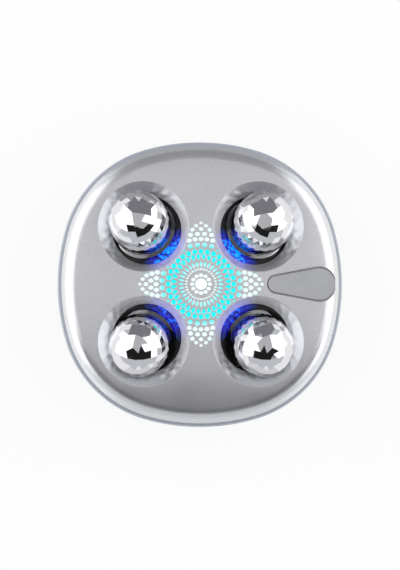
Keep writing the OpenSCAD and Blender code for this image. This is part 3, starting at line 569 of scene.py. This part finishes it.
def meshed(name, shape, material):
    """An object at the origin from a bmesh, which it uses up"""
    mesh = bpy.data.meshes.new(name)
    shape.to_mesh(mesh)
    shape.free()
    mesh.materials.append(material)
    return placed(name, mesh)


def finished(name, shape, material):
    """A piece of the device with its material"""
    piece = meshed(name, shape, material)
    return piece


def smooth_by_angle(shape, limit):
    """Smooth shading, with the edges that turn by more than the limit left sharp"""
    for face in shape.faces:
        face.smooth = True
    for edge in shape.edges:
        edge.smooth = len(edge.link_faces) == 2 and edge.calc_face_angle(math.pi) < limit


def solid_copy(node):
    """A node's own shape as one closed bmesh"""
    shape = bmesh.new()
    shape.from_mesh(frame["nodes"][node].data)
    bmesh.ops.remove_doubles(shape, verts=shape.verts, dist=MERGE)
    return shape


def body_of(node):
    for body, members in frame["record"]["behaviour"]["bodies"].items():
        if node in members:
            return body
    raise ValueError("no body holds " + node)


def dress(node, name, material, limit=SMOOTH_TURN, shape=None):
    """A smooth-shaded piece that stands for a node, from its own shape or a given one"""
    shape = shape or solid_copy(node)
    smooth_by_angle(shape, limit)
    piece = finished(name, shape, material)
    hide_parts(node)
    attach(piece, body_of(node))
    return piece


def paint_node(node, material):
    """Gives a node that keeps its own shape a finish"""
    slots = frame["nodes"][node].data.materials
    slots.clear()
    slots.append(material)


# ---- Pieces

class TONING_OT_cover(Operator):
    """Treatment cover in metallic silver paint, with its four dishes and its grille"""
    bl_idname = "toning.cover"
    bl_label = "Treatment cover"

    def execute(self, context):
        paint = cover_paint(context.scene.toning_cover, context.scene.toning_lights)
        dress("treatment_cover", "cover_face", paint, limit=COVER_TURN)
        return {"FINISHED"}


class TONING_OT_shell(Operator):
    """Palm shell, its seal and the small light beside the button"""
    bl_idname = "toning.shell"
    bl_label = "Palm shell"

    def execute(self, context):
        dress("palm_shell", "shell_palm", shell_lacquer(context.scene.toning_shell))
        paint_node("case_seal", moulded_plastic("seal_rubber", (0.03, 0.03, 0.033), 0.7))
        milky = moulded_plastic("milky_light_guide", (0.82, 0.85, 0.86), 0.3)
        dress("status_lens", "shell_status_light", milky)
        return {"FINISHED"}


class TONING_OT_button(Operator):
    """Power button with its switch"""
    bl_idname = "toning.button"
    bl_label = "Power button"

    def execute(self, context):
        dress("power_button", "button_cap", button_lacquer(context.scene.toning_shell))
        black = moulded_plastic("switch_black", (0.02, 0.02, 0.02), 0.4)
        paint_node("switch_plunger", black)
        paint_node("switch_housing", satin_metal("switch_steel", (0.6, 0.6, 0.6), 0.3))
        return {"FINISHED"}


class TONING_OT_rollers(Operator):
    """Four faceted rollers with their shafts, bushes and clips"""
    bl_idname = "toning.rollers"
    bl_label = "Rollers"

    def execute(self, context):
        rollers = context.scene.toning_rollers
        plating = roller_plating("mirror_plating", rollers.plating)
        # Painted shade: a darker copy of the plating for the part of each ball that sits deep in its socket
        shade = roller_plating("plating_in_painted_shade", tinted(rollers.plating, rollers.skirt))
        steel = satin_metal("ground_steel", (0.58, 0.59, 0.61), 0.22, brushed=(1, 1, 12))
        blued = satin_metal("spring_steel", (0.22, 0.23, 0.26), 0.35)
        bronze = satin_metal("sintered_bronze", (0.50, 0.33, 0.14), 0.48)
        for corner in CORNERS:
            self.roller(corner, plating, shade, rollers.edge)
            dress("roller_shaft_" + corner, "shaft_" + corner, steel)
            dress("shaft_bush_" + corner, "bush_" + corner, bronze)
            paint_node("shaft_clip_" + corner, blued)
        return {"FINISHED"}

    def roller(self, corner, plating, shade, edge):
        """The ball with flat facets, slightly worn edges between them and a skirt darkened as painted shade"""
        shape = solid_copy("roller_ball_" + corner)
        bmesh.ops.dissolve_limit(
            shape, angle_limit=FLAT_TURN, verts=shape.verts, edges=shape.edges)
        if edge > 0:
            bmesh.ops.bevel(
                shape, geom=[e for e in shape.edges if self.is_fold(e)], offset=edge / 2,
                offset_type="OFFSET", segments=1, profile=0.5, affect="EDGES", material=-1,
                clamp_overlap=True)
        joint = next(j for j in frame["joints"] if j["name"] == "roller_spin_" + corner)
        centre, axle = Vector(joint["pos_m"]), Vector(joint["axis"]).normalized()
        # Faces deep in the socket take the darker copy of the plating, as painted shade
        for face in shape.faces:
            depth = -(face.calc_center_median() - centre).dot(axle)
            face.material_index = int(SKIRT_TOP < depth < SKIRT_FOOT)
        ball = dress("roller_ball_" + corner, "roller_" + corner, plating, FACET_TURN, shape)
        ball.data.materials.append(shade)

    def is_fold(self, edge):
        """Whether an edge lies between two facets"""
        return (
            len(edge.link_faces) == 2 and FOLD_LEAST < edge.calc_face_angle(0) < FOLD_MOST
            and all(len(face.verts) <= FACET_CORNERS for face in edge.link_faces))


class TONING_OT_sockets(Operator):
    """Black socket cups with their lit crescents"""
    bl_idname = "toning.sockets"
    bl_label = "Sockets"

    def execute(self, context):
        lights = context.scene.toning_lights
        black = moulded_plastic("socket_black", (0.012, 0.012, 0.013), 0.38)
        guide = light_guide("blue_light_guide", lights)
        for corner in CORNERS:
            dress("socket_cup_" + corner, "socket_" + corner, black)
            dress("glow_lens_" + corner, "crescent_" + corner, guide)
        lamp = Finish("blue_lamp", (0.4, 0.6, 1.0), roughness=0.3)
        lamp.glow(lights.glow, lights.glow_strength)
        paint_node("glow_leds", lamp.material)
        return {"FINISHED"}


class TONING_OT_grille(Operator):
    """Diffuser behind the grille, with its light box and lights"""
    bl_idname = "toning.grille"
    bl_label = "Lit grille"

    def execute(self, context):
        lights = context.scene.toning_lights
        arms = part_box("grille_diffuser")[1].x
        dress("grille_diffuser", "grille_light", lit_diffuser(lights, arms))
        box = Finish("light_box_white", (0.5, 0.8, 0.82), roughness=0.5)
        box.glow(lights.ring, 0.55)
        box.mottle(box.noise(6 * MM), share=0.06)
        paint_node("light_box", box.material)
        paint_node("led_board", circuit_board("light_board_green", (0.02, 0.09, 0.045)))
        paint_node("grille_leds", moulded_plastic("light_body", (0.9, 0.88, 0.6), 0.3))
        paint_node("board_spacers", moulded_plastic("spacer_white", (0.8, 0.8, 0.78), 0.45))
        return {"FINISHED"}


class TONING_OT_port(Operator):
    """Silicone port cover in one piece, and the charging port under it"""
    bl_idname = "toning.port"
    bl_label = "Charging port"

    def execute(self, context):
        port = context.scene.toning_port
        silicone = matt_silicone(port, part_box("port_cover")[1].z)
        self.port_cover(port, silicone)
        steel = satin_metal("port_steel", (0.62, 0.62, 0.63), 0.28, brushed=(1, 1, 8))
        dress("usb_socket", "port_shell", steel)
        paint_node("usb_board", circuit_board("port_board_green", (0.02, 0.11, 0.05)))
        return {"FINISHED"}

    def port_cover(self, port, silicone):
        """One moulding from the fixed stud to the plug, rounded along its top edge"""
        flap_low, flap_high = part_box("port_cover")
        root_low, root_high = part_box("port_cover_root")
        top, under, hinge_x = flap_high.z, flap_high.z - LID_DEPTH, root_high.x
        wide_r = (flap_high.y - flap_low.y) / 2 - SLACK
        wide_x = flap_high.x - wide_r - SLACK
        narrow_r = NARROW_R - SLACK
        narrow_x = root_low.x + narrow_r + SLACK
        shape = bmesh.new()
        self.add_teardrop(shape, wide_x, wide_r, narrow_x, narrow_r, top)
        self.thicken(shape, port, top)
        # Cuts across the root, at the hinge
        for step in range(BEND_CUTS):
            bmesh.ops.bisect_plane(
                shape, geom=[*shape.verts, *shape.edges, *shape.faces], dist=0.00000001,
                plane_co=(hinge_x + (step - BEND_CUTS_BEFORE) * BEND_STEP, 0, 0),
                plane_no=(1, 0, 0))
        self.add_plug(shape, wide_x, flap_low.z, under)
        self.add_stud(shape, root_low.x + STUD_IN, root_low.z, under)
        smooth_by_angle(shape, MOULDING_TURN)
        piece = finished("port_cover_moulding", shape, silicone)
        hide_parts("port_cover", "port_cover_root")
        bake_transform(piece)

    def add_teardrop(self, shape, wide_x, wide_r, narrow_x, narrow_r, top):
        """The flat lid: two arcs with straight sides that run along both"""
        lean = math.asin((wide_r - narrow_r) / (wide_x - narrow_x))
        quarter = math.pi / 2
        first, last = self.add_arc(
            shape, (wide_x, 0, top), -wide_r, -lean, 2 * (quarter + lean), WIDE_STEPS)
        _, last = self.add_arc(
            shape, (narrow_x, 0, top), narrow_r, lean, 2 * (quarter - lean), NARROW_STEPS, last)
        shape.edges.new((last, first))
        lid = bmesh.ops.contextual_create(shape, geom=list(shape.edges))["faces"]
        bmesh.ops.recalc_face_normals(shape, faces=lid)
        if lid[0].normal.z < 0:
            bmesh.ops.reverse_faces(shape, faces=lid)

    def add_arc(self, shape, centre, out, lean, sweep, steps, before=None):
        """An arc about a centre, joined to the point before it; gives its first and last point"""
        first = shape.verts.new((centre[0], out, centre[2]))
        bmesh.ops.rotate(
            shape, verts=[first], cent=centre, matrix=Matrix.Rotation(lean, 3, "Z"))
        if before is not None:
            shape.edges.new((before, first))
        turned = bmesh.ops.spin(
            shape, geom=[first], cent=centre, axis=(0, 0, 1), angle=sweep, steps=steps)
        return first, turned["geom_last"][0]

    def thicken(self, shape, port, top):
        """Gives the lid its depth and rounds its rim"""
        wall = bmesh.ops.extrude_face_region(shape, geom=list(shape.faces))
        lowered = [v for v in wall["geom"] if isinstance(v, bmesh.types.BMVert)]
        bmesh.ops.translate(shape, verts=lowered, vec=(0, 0, -LID_DEPTH))
        bmesh.ops.recalc_face_normals(shape, faces=shape.faces)
        rim = [e for e in shape.edges if all(v.co.z > top - RIM_BAND for v in e.verts)]
        bmesh.ops.bevel(
            shape, geom=rim, offset=port.edge, offset_type="OFFSET",
            segments=port.edge_steps, profile=0.5, affect="EDGES", material=-1)

    def add_plug(self, shape, x, low, high):
        """Rounded plug that presses into the port"""
        made = bmesh.ops.create_cube(shape, size=1)["verts"]
        bmesh.ops.scale(shape, verts=made, vec=(PLUG_THICK, PLUG_WIDE, high + SUNK - low))
        bmesh.ops.translate(shape, verts=made, vec=(x, 0, (low + high + SUNK) / 2))
        edges = [
            e for e in shape.edges
            if all(v in made for v in e.verts) and min(v.co.z for v in e.verts) < high]
        bmesh.ops.bevel(
            shape, geom=edges, offset=PLUG_EDGE, offset_type="OFFSET", segments=3,
            profile=0.5, affect="EDGES", material=-1)

    def add_stud(self, shape, x, low, high):
        """Headed stud that holds the narrow end"""
        for radius, bottom, top in (
                (STUD_HEAD_R, low, low + STUD_HEAD_DEPTH),
                (STUD_R, low + STUD_HEAD_DEPTH / 2, high + SUNK)):
            made = bmesh.ops.create_cone(
                shape, cap_ends=True, cap_tris=False, segments=36, radius1=radius,
                radius2=radius, depth=top - bottom)["verts"]
            bmesh.ops.translate(shape, verts=made, vec=(x, 0, (top + bottom) / 2))


class TONING_OT_inside(Operator):
    """Boards, cell, inner frame, contact springs and screws"""
    bl_idname = "toning.inside"
    bl_label = "Inside"

    def execute(self, context):
        board = circuit_board("board_green", (0.015, 0.10, 0.045))
        for node in ("main_board", "button_board"):
            paint_node(node, board)
        paint_node("board_parts", moulded_plastic("chip_black", (0.02, 0.02, 0.022), 0.45))
        white = moulded_plastic("frame_white", (0.78, 0.78, 0.77), 0.5)
        dress("inner_frame", "frame_white", white)
        foam = moulded_plastic("foam_black", (0.04, 0.045, 0.045), 0.9, texture=0.3 * MM)
        paint_node("battery_pad", foam)
        dress("battery", "cell_pouch", satin_metal("foil_pouch", (0.55, 0.57, 0.6), 0.35))
        bronze = satin_metal("phosphor_bronze", (0.55, 0.36, 0.16), 0.25)
        for corner in CORNERS:
            dress("contact_spring_" + corner, "contact_leaf_" + corner, bronze)
        screw = satin_metal("plated_screw", (0.6, 0.6, 0.62), 0.2)
        for node in ("socket_screws", "board_screws"):
            dress(node, node.replace("_", "_set_"), screw)
        return {"FINISHED"}


# ---- Stage

class TONING_OT_stage(Operator):
    """Camera, floor, room light, soft boxes and the cards that mirrors see"""
    bl_idname = "toning.stage"
    bl_label = "Stage"

    def execute(self, context):
        stage = context.scene.toning_stage
        self.camera(context, stage)
        self.floor(stage)
        self.room(context, stage)
        self.soft_box("left_box", 173, 58, 1.2, stage.side_light)
        self.soft_box("right_box", 7, 53, 1.06, stage.side_light * 1.02)
        for name, colour, near_side, far_side in CARDS:
            self.card(name, colour, near_side, far_side)
        context.scene.view_settings.view_transform = "Standard"
        return {"FINISHED"}

    def camera(self, context, stage):
        """Camera that leans slightly from straight above"""
        data = bpy.data.cameras.new("camera")
        data.sensor_fit = "HORIZONTAL"
        data.angle = 2 * math.atan(stage.view_width / 2 / stage.view_distance)
        data.clip_end = 20
        camera = placed("camera", data)
        target = Vector((stage.aim[0], stage.aim[1], SEAM_Z))
        lean = (
            Matrix.Rotation(stage.view_lean[0], 3, "Y")
            @ Matrix.Rotation(-stage.view_lean[1], 3, "X"))
        camera.location = target + lean @ Vector((0, 0, stage.view_distance))
        camera.rotation_euler = lean.to_euler()
        context.scene.camera = camera

    def floor(self, stage):
        """Pale floor. What the camera and a mirror see of it is mostly plain white, with the
        shadow still on it."""
        material = bpy.data.materials.new("pale_floor")
        nodes = Nodes(material)
        paint = nodes.tree.nodes["Principled BSDF"]
        paint.inputs["Base Color"].default_value = (*stage.floor, 1)
        paint.inputs["Roughness"].default_value = 0.8
        seen = nodes.rays("Is Camera Ray", "Is Glossy Ray", "Is Transmission Ray")
        share = nodes.combine("MULTIPLY", seen, FLOOR_WHITE)
        white = nodes.even("ShaderNodeEmission")
        nodes.show(nodes.mix(share, paint.outputs["BSDF"], white))
        shape = bmesh.new()
        bmesh.ops.create_circle(shape, cap_ends=True, segments=96, radius=FLOOR_R)
        bmesh.ops.translate(shape, verts=shape.verts, vec=(0, 0, -FLOOR_DROP))
        floor = meshed("floor", shape, material)

    def room(self, context, stage):
        """Even room light. The camera sees white, and mirrors see grey overhead that grades
        to a paler tone at the horizon."""
        world = bpy.data.worlds.new("room")
        context.scene.world = world
        nodes = Nodes(world)
        fill = nodes.tree.nodes["Background"]
        fill.inputs["Color"].default_value = (1, 1, 1, 1)
        fill.inputs["Strength"].default_value = stage.fill
        mirror = nodes.node("ShaderNodeBackground")
        place = nodes.node("ShaderNodeTexCoord")
        parts = nodes.node("ShaderNodeSeparateXYZ")
        nodes.link(place.outputs["Generated"], parts.inputs["Vector"])
        grading = nodes.ramp(parts.outputs["Z"], [
            (0.60, (stage.around * 0.97, stage.around, stage.around * 1.04)),
            (0.80, (stage.overhead, stage.overhead, stage.overhead * 1.02))])
        nodes.link(grading, mirror.inputs["Color"])
        light = nodes.mix(
            nodes.rays("Is Glossy Ray"), fill.outputs["Background"],
            mirror.outputs["Background"])
        white = nodes.even("ShaderNodeBackground")
        seen = nodes.rays("Is Camera Ray", "Is Transmission Ray")
        nodes.show(nodes.mix(seen, light, white), "World Output")

    def soft_box(self, name, azimuth, tilt, width, brightness):
        """Rectangular light at an angle from straight up, facing the device"""
        data = bpy.data.lights.new(name, "AREA")
        data.shape = "RECTANGLE"
        data.size, data.size_y = BOX_LENGTH, width
        data.energy = math.pi * BOX_LENGTH * width * brightness
        turn = (
            Matrix.Rotation(math.radians(azimuth + 90), 3, "Z")
            @ Matrix.Rotation(math.radians(tilt), 3, "X"))
        box = placed(name, data)
        box.location = Vector((0, 0, FACE_Z)) + turn @ Vector((0, 0, BOX_DISTANCE))
        box.rotation_euler = turn.to_euler()
        box.visible_camera = False

    def card(self, name, colour, near_side, far_side):
        """Card that only mirrors see, as wide to the left as to the right"""
        material = bpy.data.materials.new(name)
        nodes = Nodes(material)
        nodes.tree.nodes.remove(nodes.tree.nodes["Principled BSDF"])
        nodes.show(nodes.even("ShaderNodeEmission", colour))
        shape = bmesh.new()
        shape.faces.new([
            shape.verts.new((turn * half, y, FACE_Z + z))
            for (half, y, z), turns in ((near_side, (-1, 1)), (far_side, (1, -1)))
            for turn in turns])
        card = meshed(name, shape, material)
        card.visible_camera = False
        card.visible_diffuse = False
        card.visible_shadow = False
        card.visible_transmission = False


class TONING_PT_panel(Panel):
    """Lists the sizes and colours of the device and the operators that make its pieces"""
    bl_idname = "TONING_PT_panel"
    bl_label = "Toning device"
    bl_space_type = "VIEW_3D"
    bl_region_type = "UI"
    bl_category = "Toning device"

    def draw(self, context):
        for group, held_as in GROUPS.items():
            column = self.layout.column(align=True)
            for name in group.__annotations__:
                column.prop(getattr(context.scene, held_as), name)
        for operator in OPERATORS:
            self.layout.operator(operator.bl_idname)


GROUPS = {
    ToningCover: "toning_cover", ToningShell: "toning_shell", ToningRollers: "toning_rollers",
    ToningLights: "toning_lights", ToningPort: "toning_port", ToningStage: "toning_stage",
}
OPERATORS = (
    TONING_OT_stage, TONING_OT_cover, TONING_OT_shell, TONING_OT_button, TONING_OT_rollers,
    TONING_OT_sockets, TONING_OT_grille, TONING_OT_port, TONING_OT_inside,
)
CLASSES = (*GROUPS, *OPERATORS, TONING_PT_panel)


def register():
    for made in CLASSES:
        bpy.utils.register_class(made)
    for group, name in GROUPS.items():
        setattr(bpy.types.Scene, name, PointerProperty(type=group))


def unregister():
    for name in GROUPS.values():
        delattr(bpy.types.Scene, name)
    for made in reversed(CLASSES):
        bpy.utils.unregister_class(made)


def main():
    register()
    for operator in OPERATORS:
        group, name = operator.bl_idname.split(".")
        getattr(getattr(bpy.ops, group), name)()


if __name__ == "__main__":
    main()
